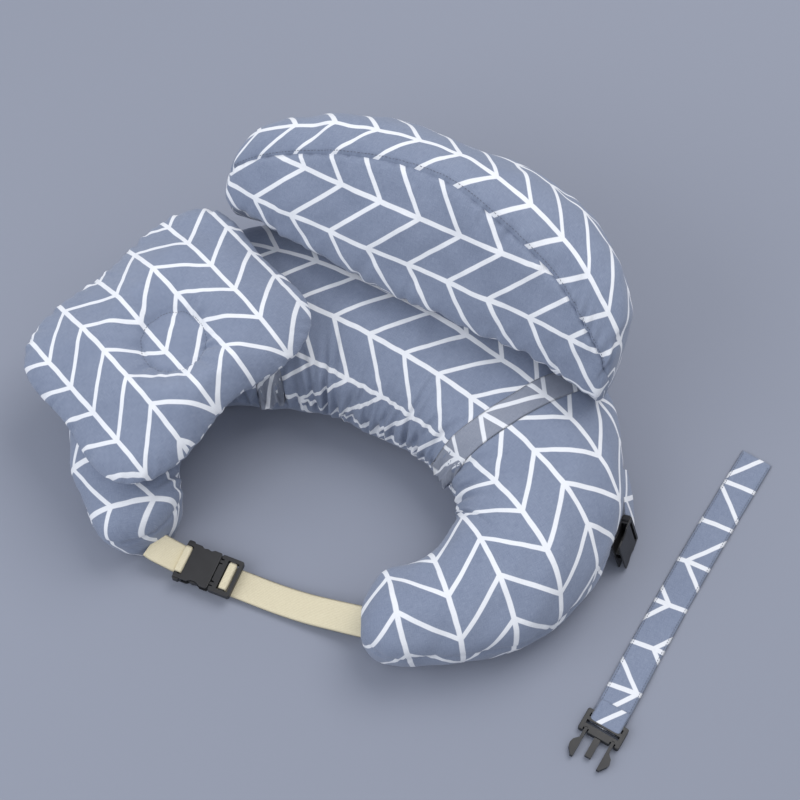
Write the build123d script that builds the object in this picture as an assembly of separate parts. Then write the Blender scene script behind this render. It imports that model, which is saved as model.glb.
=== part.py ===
from build123d import *
import os
from math import sin, cos, radians, degrees, sqrt, atan2

# Nursing pillow: a C-shaped waist cushion closed by a webbing belt, a half-moon raised cushion on
# its back, a square head pillow on its left arm, and a loose neck strap.
# Millimetres. +Z is up, +Y points to the back of the waist cushion, and the belt is at the front.
# The origin is on the table, in the middle of the waist opening.

os.makedirs("parts", exist_ok=True)

# ---- fabric and layers ----
cloth = 1.5            # cover fabric with its lining
patch = 1.2            # hook tape, loop tape, strap and zip tape
gap = 0.3              # air between two pieces that come apart
crumb = 1.0            # volume under which a bit left by a cut is dropped

# ---- larger than the whole object, for cutting tools ----
wide = 1200.0
tall = 600.0

# ---- waist cushion: a centre line of two half ellipses, with a section at each station ----
centre_y = 45.0        # where the arms are furthest apart
back_reach = 192.0     # from there to the centre line at the back
seam_height = 50.0     # widest height of every section
foot_share = 0.72      # flat width on the table, as a share of the section's width
tip_round = 55.0       # length over which each tip rounds off
foot_trim = 1.0        # cut off under each section, so that the foot is a true plane

# Each arm: sideways reach, frontward reach, end angle, and stations of (angle from the back,
# half width, top height).
right_arm = {
    "side": 1,
    "reach": 237.0,
    "front_reach": 160.0,
    "end": 155.0,
    "stations": [(0, 125, 140), (24, 123, 138), (47, 112, 133), (70, 95, 127), (92, 84, 120), (112, 74, 112)],
}
left_arm = {
    "side": -1,
    "reach": 238.0,
    "front_reach": 183.0,
    "end": 141.0,
    "stations": [(0, 125, 140), (24, 122, 138), (47, 106, 133), (70, 80, 126), (92, 66, 118), (112, 60, 108)],
}
tip_width = 50.0       # half width of an arm where its tip starts to round off
tip_height = 95.0      # top height there

# ---- raised cushion: half-moon, with its straight side to the front ----
raised_at = (18.0, 229.0)     # middle of the straight side
raised_turn = -8.0            # degrees about Z
raised_half_length = 244.0
raised_skew = 0.12            # how far its highest place is right of the middle, as a share
raised_depth = 184.0          # at the middle
raised_end_depth = 44.0
raised_seat = 144.0           # height of its lower front edge
raised_low = 112.0            # how far its back hangs down over the waist cushion
raised_height = 143.0         # above the seat, at the middle
raised_end_height = 58.0
raised_front_bow = 12.0
raised_rest = 2.4             # air under it, where its base follows the waist cushion
base_seam = 0.5               # between its base panel and its walls
# Front, seam, crest and back of its section, as shares of the depth and of the height.
raised_profile = [(0.07, 0.03), (0.0, 0.18), (0.04, 0.36), (0.20, 0.66), (0.42, 0.92), (0.60, 1.0),
                  (0.78, 0.93), (0.95, 0.66), (1.0, 0.34), (0.97, 0.06)]
front_seam = raised_profile[4]
raised_stations = (-1, -0.92, -0.78, -0.6, -0.4, -0.2, 0, 0.2, 0.4, 0.6, 0.78, 0.92, 1)
base_shares = (0.78, 0.62, 0.46, 0.30, 0.18)

# ---- head pillow: square with pulled-in sides ----
head_at = (-212.0, 87.0, 151.0)
head_turn = -27.0             # degrees about Z of its short side
head_lean = (-0.095, -0.107)  # how its upward direction leans in X and Y
head_length = 276.0
head_width = 236.0
head_thickness = 66.0
head_corner = 46.0            # corner radius
head_pull = 7.0               # how far each side pulls in
head_edge = 26.0              # edge rounding
dimple_radius = 78.0          # of the ball that shapes the dimple
dimple_depth = 20.0
stitch_circle = 70.0          # diameter
thread = 1.2

# ---- straps over the waist cushion ----
holder_width = 30.0
holder_right = ((112.0, 68.0), (240.0, 241.0))
holder_left = ((-80.0, 76.0), (-196.0, 238.0))

# ---- belt ----
belt_width = 34.0
webbing = 1.7
belt_y = -105.0
belt_mouth_x = -76.0          # mouth of the socket, where the plug goes in
belt_z = 14.0                 # middle of the buckle
belt_tip_z = 27.0             # where the webbing leaves the right tip
belt_travel = 34.0            # pull that frees the plug

# ---- neck strap, which lies beside the pillow, and its tab ----
neck_width = 38.0
neck_start = (383.0, -97.0)   # buckle end
neck_end = (441.5, 263.0)
neck_fabric = 2.2
tab_start = (305.0, 170.0, 46.0)  # on the waist cushion's outer seam
tab_end = (334.0, 116.0, 26.0)    # at the socket's bar
tab_face = (0.96, 0.0, 0.28)      # the way the tab and its socket face

# ---- side-release buckles ----
buckle_side = 5.5             # plastic beside the webbing slot, each side
socket_thick = 10.0
plug_thick = 7.0
socket_length = 42.0
plug_length = 26.0
plate = 1.7                   # socket's top and bottom plates
slot_gap = 4.5
bar = 4.0
prong_thick = 6.0
prong_wide = 3.4
prong_length = 30.0
pivot_x = 4.0
pivot_radius = 1.9
pivot_slack = 0.1
tongue_half = 3.6

# ---- zips ----
coil_high = 3.0
tape_high = 22.0
waist_zip_length = 300.0      # across the back
tape_margin = 4.0             # tape beyond the teeth, at each end
zip_end_angle = 24            # station of the centre line where the waist zip ends
slider_size = (13.0, 3.3, 8.0)
slider_round = 2.0
slider_hollow = 0.4           # how far its inner face is hollowed to follow the zip
slider_gap = 1.0
slider_stop = 1.0             # degrees between the waist slider and its zip's end
raised_slider_stop = 4.0
raised_zip_share = 0.3        # half its length, as a share of half the raised cushion

# ---- hook-and-loop patches between the waist cushion and the raised cushion ----
grip_size = (70.0, 40.0)
grip_at = (100.0, 62.0)       # on both sides of the middle, and back from the straight side


def arm_centre(arm, angle):
    """Centre line point, and the direction away from the opening, at an angle from the back."""
    reach_y = back_reach if angle <= 90 else arm["front_reach"]
    s, c = sin(radians(angle)), cos(radians(angle))
    out = Vector(arm["side"] * reach_y * s, arm["reach"] * c).normalized()
    return Vector(arm["side"] * arm["reach"] * s, centre_y + reach_y * c), out


def cushion_section(arm, angle, half_width, top, grow):
    """Closed section of the waist cushion, upright and square to its centre line."""
    centre, out = arm_centre(arm, angle)
    w = half_width + grow
    h = top - seam_height + grow
    foot = foot_share * half_width
    shape = [(-foot, -grow - foot_trim), (-0.93 * w, 0.42 * seam_height), (-w, seam_height),
             (-0.74 * w, seam_height + 0.70 * h), (0, seam_height + h)]
    shape += [(-x, z) for x, z in reversed(shape[:-1])]
    points = [centre + out * x + Vector(0, 0, z) for x, z in shape]
    wire = Wire([Spline(*points), Line(points[-1], points[0])])
    return Face(wire)


def arm_sections(arm, grow):
    """Sections from the back to the tip of one arm."""
    mean_reach = (arm["reach"] + arm["front_reach"]) / 2
    sections = [cushion_section(arm, a, w, h, grow) for a, w, h in arm["stations"]]
    start = arm["end"] - degrees(tip_round / mean_reach)
    for share in (0.0, 0.45, 0.78, 0.97):
        angle = start + (arm["end"] - start) * share + degrees(grow / mean_reach) * share
        k = sqrt(1 - (share * 0.93) ** 2)
        top = seam_height + (tip_height - seam_height) * k
        sections.append(cushion_section(arm, angle, tip_width * k, top, grow))
    return sections


def waist_cushion(grow=0.0):
    """The whole waist cushion, its skin moved outwards by grow."""
    left = arm_sections(left_arm, grow)
    right = arm_sections(right_arm, grow)
    body = loft(list(reversed(left)) + right[1:])
    above_table = Pos(0, 0, tall / 2 - grow) * Box(wide, wide, tall)
    return (body & above_table).solids()[0]


def layer(inner, outer, keep):
    """The part of a skin, between two distances from the waist cushion, that is inside keep."""
    return (waist_cushion(outer) & keep) - waist_cushion(inner)


def save(node, shape):
    """Write one node, without the crumbs that a cut may leave along an edge."""
    solids = [solid for solid in shape.solids() if solid.volume > crumb]
    shape = Compound(children=solids) if len(solids) > 1 else solids[0]
    shape.label = node
    export_step(shape, f"parts/{node}.step")


def raised_frame():
    side = Vector(1, 0, 0).rotate(Axis.Z, raised_turn)
    return Plane(origin=(raised_at[0], raised_at[1], 0), x_dir=side, z_dir=(0, 0, 1))


def raised_span(u):
    """Depth and height of the raised cushion at u, from -1 at one end to 1 at the other."""
    k = sqrt(max(0.0, 1 - abs(u - raised_skew * (1 - u * u)) ** 2.2))
    depth = raised_end_depth + (raised_depth - raised_end_depth) * k
    height = raised_end_height + (raised_height - raised_end_height) * k
    return depth, height


def raised_point(u, q, z, grow=0.0):
    """Local point of the raised cushion's skin, moved out by grow from the middle of its section."""
    depth, height = raised_span(u)
    y = -raised_front_bow * (1 - u * u) + q * depth + grow * (2 * q - 1)
    return Vector((raised_half_length + grow) * u, y, raised_seat + z * height + grow * (2 * z - 1))


def height_below(local_point, above):
    """Height of the waist cushion under a local point, plus above, or the lowest the base hangs."""
    place = raised_frame().from_local_coords(local_point)
    hits = outer_skin.find_intersection_points(Axis((place.X, place.Y, 400), (0, 0, -1)))
    top = max([point.Z for point, normal in hits], default=0.0)
    return max(top + above, raised_low + above)


def base_curve(u, above, grow=0.0):
    """Points of the base at one station, from the back to the front."""
    points = [raised_point(u, q, 0, grow) for q in (0.95,) + base_shares + (0.10,)]
    return [Vector(p.X, p.Y, height_below(p, above)) for p in points]


def raised_loft(above, grow=0.0):
    sections = []
    for u in raised_stations:
        wall = [raised_point(u, q, z, grow) for q, z in raised_profile]
        base = base_curve(u, above, grow)
        wall = [base[-1]] + [p for p in wall if p.Z > base[-1].Z + 2 or p.Y > base[0].Y - 20] + [base[0]]
        sections.append(Face(Wire([Spline(*wall), Spline(*base)])))
    return raised_frame() * loft(sections)


def base_loft(below, above):
    """The base panel: a thin sheet that follows the waist cushion."""
    sections = []
    for u in raised_stations:
        low = base_curve(u, below, -3.0)
        high = base_curve(u, above, -3.0)
        sections.append(Face(Wire([Spline(*low), Line(low[-1], high[-1]), Spline(*reversed(high)),
                                   Line(high[0], low[0])])))
    return raised_frame() * loft(sections)


def head_frame():
    up = Vector(head_lean[0], head_lean[1], 1).normalized()
    side = Vector(1, 0, 0).rotate(Axis.Z, head_turn)
    side = (side - up * side.dot(up)).normalized()
    return Plane(origin=head_at, x_dir=side, z_dir=up)


def head_solid(grow=0.0):
    """Square pillow with pulled-in sides, rounded edges and a dimple in its upper face."""
    hx, hy = head_width / 2 + grow, head_length / 2 + grow
    outline = Polyline((-hx, -hy), (0, -hy + head_pull), (hx, -hy), (hx - head_pull, 0), (hx, hy),
                       (0, hy - head_pull), (-hx, hy), (-hx + head_pull, 0), close=True)
    face = make_face(outline)
    corners = face.vertices().filter_by(lambda v: abs(v.X) > hx - 1 and abs(v.Y) > hy - 1)
    face = fillet(corners, head_corner)
    half = head_thickness / 2 + grow
    body = extrude(face, half, both=True)
    rims = body.faces().filter_by(Axis.Z).edges()
    body = fillet(rims, head_edge + grow)
    ball_z = half - grow - dimple_depth + dimple_radius
    body -= Pos(0, 0, ball_z) * Sphere(dimple_radius - grow)
    return head_frame() * body


def side_release_buckle(width):
    """Socket, plug and its two prongs for a strap of this width.

    The mouth is at the origin, the plug leaves along +X, and Y is across the strap.
    """
    half = width / 2 + buckle_side
    slot = width / 2 + 0.6
    pivot_y = width / 2 - 3
    cavity = socket_thick / 2 - plate
    back = -socket_length

    socket = Pos(back / 2, 0, 0) * Box(socket_length, 2 * half, socket_thick)
    socket = fillet(socket.edges().filter_by(Axis.Z), 2.5)
    ears = Pos(back + 4, 0, 0) * Box(8, 2 * half + 4, socket_thick * 0.7)
    socket += fillet(ears.edges().filter_by(Axis.Z), 2.0)
    socket = fillet(socket.edges().group_by(Axis.Z)[-1], 0.8)
    throat = prong_length + 1.5
    socket -= Pos(-throat / 2, 0, 0) * Box(throat + 0.02, 2 * half + 10, 2 * cavity)
    for side in (1, -1):
        rib = Pos(-throat / 2, side * (tongue_half + 1.5), 0) * Box(throat - 4, 1.6, 2 * cavity + 1)
        socket += rib
        scallop = Pos(-throat * 0.55, side * (half + 9.0), 0) * Cylinder(12.0, socket_thick + 2)
        socket -= scallop
    socket -= Pos(back + bar + slot_gap / 2, 0, 0) * Box(slot_gap, 2 * slot, socket_thick + 2)

    plug = Pos(gap + plug_length / 2, 0, 0) * Box(plug_length, 2 * half, plug_thick)
    plug = fillet(plug.edges().filter_by(Axis.Z), 2.5)
    plug = fillet(plug.edges().group_by(Axis.Z)[-1], 0.7)
    first_slot = 9.0
    for start in (first_slot, first_slot + slot_gap + bar):
        plug -= Pos(start + slot_gap / 2, 0, 0) * Box(slot_gap, 2 * slot, plug_thick + 2)
    plug += Pos(gap - 11, 0, 0) * Box(24, 2 * tongue_half, 4.6)
    prongs = {}
    for side, name in ((1, "far"), (-1, "near")):
        seat = Pos(pivot_x, side * pivot_y, 0) * Cylinder(pivot_radius + pivot_slack, plug_thick + 2)
        mouth = Box(pivot_x + 2, 2 * pivot_radius + 3.0, plug_thick + 2)
        mouth = Pos(pivot_x / 2 - 1, side * pivot_y, 0) * mouth
        plug -= seat
        plug -= mouth
        prong = Pos(pivot_x, side * pivot_y, 0) * Cylinder(pivot_radius, prong_thick)
        prong += Pos((pivot_x - prong_length) / 2, side * pivot_y, 0) * Box(
            prong_length + pivot_x - 0.2, prong_wide, prong_thick)
        pad_out = half - 0.6
        pad_in = pivot_y
        pad = Polyline((-prong_length + 0.1, pad_in), (-prong_length + 2, pad_in + 2.6), (-22, pad_out - 1.0),
                       (-18, pad_out), (-13, pad_out - 1.2), (-6, pad_in), close=True)
        pad = extrude(make_face(pad), prong_thick / 2, both=True)
        if side < 0:
            pad = mirror(pad, Plane.XZ)
        prong += pad
        prongs[name] = prong
    return socket, plug, prongs


def band(points, width, thick, across):
    """A flat strip that follows points, with its width along across."""
    half = across.normalized() * (width / 2)
    upper, lower = [], []
    for i, p in enumerate(points):
        a = points[max(i - 1, 0)]
        b = points[min(i + 1, len(points) - 1)]
        up = (b - a).cross(across).normalized()
        up = up if up.Z > 0 else up * -1
        upper.append(p + up * (thick / 2))
        lower.append(p - up * (thick / 2))
    outline = upper + list(reversed(lower))
    face = Face(Wire([*Polyline(*[q - half for q in outline], close=True).edges()]))
    return extrude(face, 2 * half.length, dir=half)


# ---- waist cushion: cover, filling, zip, straps and grip patches ----
outer_skin = waist_cushion()
inner_skin = waist_cushion(-cloth)
save("waist_cover", outer_skin - inner_skin)
save("waist_filling", inner_skin)

behind = centre_y + back_reach + wide / 2 - 500
zip_zone = Pos(0, behind, seam_height) * Box(waist_zip_length, 200, tape_high)
save("waist_zip_tape", layer(0, patch, zip_zone))
coil_zone = Pos(0, behind, seam_height) * Box(waist_zip_length - 2 * tape_margin, 200, coil_high)
save("waist_zip_coil", layer(patch, 2 * patch + gap, coil_zone))


def rim_point(angle):
    """Outermost point of the waist cushion on its seam."""
    centre, out = arm_centre(right_arm, angle)
    half_widths = {a: w for a, w, h in right_arm["stations"]}
    return centre + out * half_widths[angle]


def zip_slider(reach):
    """Slider with an inner face that follows a zip bent round Z; reach is from there to its middle."""
    body = fillet(Box(*slider_size).edges().filter_by(Axis.Y), slider_round)
    inner_radius = reach - slider_size[1] / 2 + slider_hollow
    return Pos(0, reach, 0) * body - Cylinder(inner_radius, 2 * slider_size[2])


# The zip's slider turns about the middle of the circle through the back of the seam.
rim_middle = rim_point(0)
rim_side = rim_point(zip_end_angle)
drop = rim_middle.Y - rim_side.Y
zip_radius = (rim_side.X ** 2 + drop ** 2) / (2 * drop)
zip_centre_y = rim_middle.Y - zip_radius
slider_angle = degrees(atan2(rim_side.X, zip_radius - drop)) - slider_stop
slider_reach = zip_radius + 2 * patch + gap + slider_gap + slider_size[1] / 2
slider_place = Pos(0, zip_centre_y, seam_height) * Rot(0, 0, -slider_angle)
save("waist_zip_slider", slider_place * zip_slider(slider_reach))
print("waist zip centre y", zip_centre_y, "slider angle", slider_angle)


def holder_zone(ends):
    """Tall box over the line that a holding strap takes across the cushion."""
    a, b = Vector(*ends[0]), Vector(*ends[1])
    run = b - a
    middle = (a + b) * 0.5
    turn = degrees(atan2(run.Y, run.X))
    tall_box = Box(run.length, holder_width, tall)
    return Pos(middle.X, middle.Y, seam_height + tall / 2) * Rot(0, 0, turn) * tall_box


save("right_retaining_strap", layer(0, patch, holder_zone(holder_right)))
save("left_retaining_strap", layer(0, patch, holder_zone(holder_left)))

grip_spots = [raised_frame() * Pos(side * grip_at[0], grip_at[1], raised_seat) for side in (-1, 1)]
grip_zone = Compound([spot * Box(*grip_size, raised_seat) for spot in grip_spots])
save("grip_hook_patches", layer(0, patch, grip_zone))
save("grip_loop_patches", layer(patch + gap, 2 * patch + gap, grip_zone))

# ---- raised cushion: panels, filling and zip ----
base_under = 2 * patch + gap + raised_rest
base_panel = base_loft(base_under, base_under + cloth)
wall_foot = base_under + cloth + base_seam
raised_outer = raised_loft(wall_foot)
raised_inner = raised_loft(wall_foot + cloth, -cloth)

# The seam between the front panel and the gusset lies in a steep plane.
seam_foot = raised_point(1, *front_seam)
seam_crest = raised_point(0, *front_seam)
seam_turn = degrees(atan2(seam_crest.Z - seam_foot.Z, seam_crest.Y - seam_foot.Y))
seam_place = raised_frame() * Pos(0, seam_foot.Y, seam_foot.Z) * Rot(seam_turn, 0, 0)
front_zone = seam_place * Pos(0, 0, tall / 2) * Box(wide, wide, tall)
save("raised_front_panel", (raised_outer & front_zone) - raised_inner)
save("raised_gusset", (raised_outer - front_zone) - raised_inner)
save("raised_base_panel", base_panel)
save("raised_filling", raised_inner)

# ---- head pillow ----
head_air = 0.6 + patch
head_outer = head_solid() - waist_cushion(head_air)
head_inner = head_solid(-cloth) - waist_cushion(head_air + cloth)
save("head_pillow_cover", head_outer - head_inner)
save("head_pillow_filling", head_inner)

ball_middle = head_thickness / 2 - dimple_depth + dimple_radius
stitch_z = ball_middle - sqrt(dimple_radius ** 2 - (stitch_circle / 2) ** 2) + thread
save("head_dimple_stitch", head_frame() * Pos(0, 0, stitch_z) * Torus(stitch_circle / 2, thread / 2))

# ---- zip on the back of the raised cushion, at its widest height ----
back_crest = (1.0, 0.34)
back_middle = raised_point(raised_skew, *back_crest)
back_side = raised_point(raised_skew + raised_zip_share, *back_crest)
back_run = back_side.X - back_middle.X
back_drop = back_middle.Y - back_side.Y
raised_radius = (back_run ** 2 + back_drop ** 2) / (2 * back_drop)
raised_zip_angle = degrees(atan2(back_run, raised_radius - back_drop))
raised_zip_place = raised_frame() * Pos(back_middle.X, back_middle.Y - raised_radius, back_middle.Z)


def arc_strip(radius, thick, high, half_angle):
    """A strip bent round a circle about Z, centred on +Y."""
    ring = Cylinder(radius + thick, high) - Cylinder(radius, high + 2)
    far_x, far_y = 2 * radius * sin(radians(half_angle)), 2 * radius * cos(radians(half_angle))
    wedge = Polyline((0, 0), (-far_x, far_y), (far_x, far_y), close=True)
    return ring & extrude(make_face(wedge), high, both=True)


tape = arc_strip(raised_radius + gap, patch, tape_high * 0.6, raised_zip_angle)
coil = arc_strip(raised_radius + gap + patch, patch + gap, coil_high, raised_zip_angle - 1)
save("raised_zip_tape", raised_zip_place * tape)
save("raised_zip_coil", raised_zip_place * coil)
raised_slider_reach = raised_radius + 2 * gap + 2 * patch + slider_gap + slider_size[1] / 2
raised_slider = zip_slider(raised_slider_reach)
save("raised_zip_slider", raised_zip_place * Rot(0, 0, raised_slider_stop - raised_zip_angle) * raised_slider)
print("raised zip centre", raised_zip_place.position, "slider angle", raised_zip_angle - raised_slider_stop)

# ---- belt ----
socket, plug, prongs = side_release_buckle(belt_width)
belt_place = Pos(belt_mouth_x, belt_y, belt_z)
save("waist_buckle_socket", belt_place * socket)
save("waist_buckle_plug", belt_place * plug)
for name, prong in prongs.items():
    save(f"waist_buckle_prong_{name}", belt_place * prong)
print("waist prong pivots", belt_mouth_x + pivot_x, belt_y + belt_width / 2 - 3, belt_y - belt_width / 2 + 3)


# The left webbing goes from the left tip round the socket's bar, and the right webbing passes under
# the plug on its way to the right tip. The plug carries the turn round its own bar.
left_tip = arm_centre(left_arm, left_arm["end"])[0]
right_tip = arm_centre(right_arm, right_arm["end"])[0]
socket_bar = -socket_length + bar / 2
loop_room = 0.3
socket_loop = Box(bar + slot_gap, belt_width, socket_thick + 2 * loop_room + 2 * webbing)
socket_loop -= Box(bar + slot_gap + 2, belt_width + 2, socket_thick + 2 * loop_room)
inner_leg = Box(webbing, belt_width, socket_thick + 2 * webbing)
inner_leg = Pos((bar + slot_gap) / 2 - webbing / 2, 0, 0) * inner_leg
socket_loop = Pos(socket_bar + slot_gap / 2 - 0.6, 0, 0) * (socket_loop + inner_leg)
left_start = Vector(left_tip.X - 14, belt_y, belt_tip_z)
left_end = Vector(belt_mouth_x + socket_bar - bar / 2 - 0.8, belt_y, belt_z)
across = Vector(0, 1, 0)
left_lead = band([left_start, Vector((left_start.X + left_end.X) / 2, belt_y, (belt_tip_z + belt_z) / 2 + 2),
                  left_end], belt_width, webbing, across)
save("belt_webbing_left", left_lead - outer_skin)
save("belt_webbing_bar_loop", belt_place * socket_loop)

turn_x = 9.0 + slot_gap + bar / 2
turn_high = plug_thick + 2 * loop_room + 2 * webbing
plug_turn = Box(bar + slot_gap, belt_width, turn_high)
plug_turn -= Pos(0, 0, -webbing) * Box(bar + slot_gap - 2 * webbing, belt_width + 2, turn_high)
save("belt_webbing_turn", belt_place * Pos(turn_x, 0, webbing * 0.5 + 0.4) * plug_turn)

under = belt_z - plug_thick / 2 - loop_room - 1.6 * webbing - 1.2
flat_end = belt_mouth_x + plug_length + belt_travel + 4
right_end = Vector(right_tip.X + 12, belt_y, belt_tip_z)
right_lead = band([Vector(belt_mouth_x + 11, belt_y, under), Vector(flat_end, belt_y, under),
                   Vector(flat_end + 45, belt_y, under + 5), right_end], belt_width, webbing, across)
save("belt_webbing_right", right_lead - outer_skin)

# ---- neck strap, which lies beside the pillow ----
socket, plug, prongs = side_release_buckle(neck_width)
neck_run = Vector(neck_end[0] - neck_start[0], neck_end[1] - neck_start[1])
neck_turn = degrees(atan2(neck_run.Y, neck_run.X))
neck_low = 0.4
neck_place = Pos(neck_start[0], neck_start[1], neck_low + plug_thick / 2) * Rot(0, 0, neck_turn)
plug_at = neck_place * Pos(-plug_length, 0, 0)
save("neck_buckle_plug", plug_at * plug)
for name, prong in prongs.items():
    save(f"neck_buckle_prong_{name}", plug_at * prong)
strap_z = neck_fabric / 2 - plug_thick / 2 + 0.1
strap = Pos(neck_run.length / 2 + 2, 0, strap_z) * Box(neck_run.length, neck_width, neck_fabric)
save("neck_strap_fabric", neck_place * strap)
print("neck pivots", (plug_at * Pos(pivot_x, neck_width / 2 - 3, 0)).position,
      (plug_at * Pos(pivot_x, 3 - neck_width / 2, 0)).position)

# ---- neck tab and its socket, on the right side ----
face_out = Vector(*tab_face).normalized()
socket_plane = Plane(origin=Vector(*tab_end) - Vector(0, socket_length, 0), x_dir=(0, -1, 0), z_dir=face_out)
save("neck_buckle_socket", socket_plane * socket)
tab_run = Vector(*tab_end) - Vector(*tab_start)
tab_down = tab_run.normalized()
tab_up = (face_out - tab_down * tab_down.dot(face_out)).normalized()
tab_plane = Plane(origin=tab_start, x_dir=tab_down, z_dir=tab_up)
tab = Pos(tab_run.length / 2 - 4, 0, 0) * Box(tab_run.length, neck_width, neck_fabric)
socket_room = Box(socket_length + 2 * gap, neck_width + 2 * buckle_side + 4 + 2 * gap, socket_thick + 2 * gap)
socket_room = socket_plane * Pos(-socket_length / 2, 0, 0) * socket_room
save("neck_tab", (tab_plane * tab) - outer_skin - socket_room)
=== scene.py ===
# %% [markdown]
# # A nursing pillow, sewn and stuffed in code
#
# The real pillow is four sewn things: a C-shaped waist cushion with a webbing belt, a half-moon cushion
# that stands on its back, a small square head pillow, and a loose neck strap. The hard pieces (buckles and
# zip sliders) come ready from the engineering model. The soft ones are made here, because a stuffed cover
# has creases, gathers and a printed cloth that no plain solid can show.

# %% Load the engineering model
import math

import bmesh
import bpy
import numpy as np
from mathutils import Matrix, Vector
from mathutils.bvhtree import BVHTree


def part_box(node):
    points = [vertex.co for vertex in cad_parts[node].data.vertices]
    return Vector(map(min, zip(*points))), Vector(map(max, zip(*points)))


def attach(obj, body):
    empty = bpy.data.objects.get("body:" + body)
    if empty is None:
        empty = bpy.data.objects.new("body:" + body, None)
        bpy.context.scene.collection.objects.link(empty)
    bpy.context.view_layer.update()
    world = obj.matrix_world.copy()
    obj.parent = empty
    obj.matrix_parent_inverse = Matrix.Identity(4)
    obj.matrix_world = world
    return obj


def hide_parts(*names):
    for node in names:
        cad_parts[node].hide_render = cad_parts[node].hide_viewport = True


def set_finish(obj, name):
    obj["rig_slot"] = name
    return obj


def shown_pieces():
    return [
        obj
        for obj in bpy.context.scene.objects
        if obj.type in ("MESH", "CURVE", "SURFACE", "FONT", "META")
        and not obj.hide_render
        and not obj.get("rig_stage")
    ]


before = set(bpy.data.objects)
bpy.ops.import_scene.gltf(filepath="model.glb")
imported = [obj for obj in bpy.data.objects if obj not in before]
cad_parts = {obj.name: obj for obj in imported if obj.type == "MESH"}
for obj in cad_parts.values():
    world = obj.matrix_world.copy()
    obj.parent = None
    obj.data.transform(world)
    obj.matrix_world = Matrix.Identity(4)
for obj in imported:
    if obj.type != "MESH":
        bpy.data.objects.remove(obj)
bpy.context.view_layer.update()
MM = 0.001

# %% [markdown]
# ## Camera, floor and light
#
# A picture of a cushion is taken from high up, so that the cloth's print reads well, and a long lens keeps
# the shape calm. The light is what shows softness: one very large lamp gives shadows with no hard edge, a
# second one from the other side fills the hollows, and a pale sky keeps the shade from going black.

# %% Camera
AZIMUTH, ELEVATION = 22.0, 62.0
DISTANCE = 2.04
AIM = (0.030, 0.180, 0.0)
FIELD_OF_VIEW = 26.0
turn, rise = math.radians(AZIMUTH), math.radians(ELEVATION)
towards_camera = (math.sin(turn) * math.cos(rise), -math.cos(turn) * math.cos(rise), math.sin(rise))
camera = bpy.data.objects.new("camera", bpy.data.cameras.new("camera"))
bpy.context.scene.collection.objects.link(camera)
camera.location = [AIM[i] + DISTANCE * towards_camera[i] for i in range(3)]
camera.rotation_euler = (math.radians(90 - ELEVATION), 0, turn)
camera.data.lens = 18.0 / math.tan(math.radians(FIELD_OF_VIEW) / 2)
bpy.context.scene.camera = camera
print("lens", round(camera.data.lens, 1), "mm")

# %% Floor
FLOOR_COLOUR = (0.262, 0.284, 0.352, 1)
floor_mesh = bpy.data.meshes.new("floor")
floor_mesh.from_pydata([(-8, -8, 0), (8, -8, 0), (8, 8, 0), (-8, 8, 0)], [], [(0, 1, 2, 3)])
floor = bpy.data.objects.new("floor", floor_mesh)
bpy.context.scene.collection.objects.link(floor)
floor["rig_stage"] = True
floor_paint = bpy.data.materials.new("pale floor")
floor_paint.use_nodes = True
floor_paint.node_tree.nodes["Principled BSDF"].inputs["Base Color"].default_value = FLOOR_COLOUR
floor_paint.node_tree.nodes["Principled BSDF"].inputs["Roughness"].default_value = 0.9
floor_mesh.materials.append(floor_paint)


# %% Lamps and sky
def soft_lamp(name, place, size, watts, tint):
    """A large square lamp that points at the middle of the picture."""
    lamp = bpy.data.objects.new(name, bpy.data.lights.new(name, "AREA"))
    lamp.data.size = size
    lamp.data.energy = watts
    lamp.data.color = tint
    lamp.location = place
    lamp.rotation_euler = (Vector(AIM) - Vector(place)).to_track_quat("-Z", "Y").to_euler()
    bpy.context.scene.collection.objects.link(lamp)


soft_lamp("key lamp", (0.7, 1.5, 2.6), 1.9, 42, (1.0, 0.98, 0.96))
soft_lamp("fill lamp", (-1.6, -1.6, 1.7), 2.4, 36, (0.95, 0.97, 1.0))
sky = bpy.data.worlds.new("sky")
sky.use_nodes = True
sky.node_tree.nodes["Background"].inputs["Color"].default_value = (0.92, 0.95, 1.0, 1)
sky.node_tree.nodes["Background"].inputs["Strength"].default_value = 0.66
bpy.context.scene.world = sky
bpy.context.scene.view_settings.view_transform = "Standard"

# %% [markdown]
# ## Small helpers for sewn surfaces
#
# Every cover panel is a grid of points: one direction runs along the panel, the other across it. A grid
# keeps two things that a sculpted blob loses, which are clean edge loops for the seams and a flat cloth
# coordinate at every point. That coordinate is kept in a UV map, in metres, so that the print has its
# true size and turns with the cloth.


# %% Grids to meshes
def make_piece(name, points, faces, cloth=None):
    """A smooth mesh object from points in millimetres; cloth is each point's place on the flat fabric."""
    mesh = bpy.data.meshes.new(name)
    mesh.from_pydata([tuple(p) for p in np.asarray(points) * MM], [], faces)
    if cloth is not None:
        layer = mesh.uv_layers.new(name="Cloth")
        corners = np.array([i for face in faces for i in face])
        layer.data.foreach_set("uv", (np.asarray(cloth) * MM)[corners].astype(np.float32).ravel())
    mesh.polygons.foreach_set("use_smooth", [True] * len(mesh.polygons))
    piece = bpy.data.objects.new(name, mesh)
    bpy.context.scene.collection.objects.link(piece)
    return piece


def place_piece(piece, body, slot, *nodes):
    """Says which body a piece moves with, which finish it takes, and which nodes it stands for."""
    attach(piece, body)
    if nodes:
        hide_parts(*nodes)
    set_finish(piece, slot)


def grid_faces(rows, columns, start=0):
    """Four-cornered faces between the neighbours of a grid of points."""
    corner = [(start + i * columns + j) for i in range(rows - 1) for j in range(columns - 1)]
    return [(a, a + 1, a + columns + 1, a + columns) for a in corner]


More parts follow.
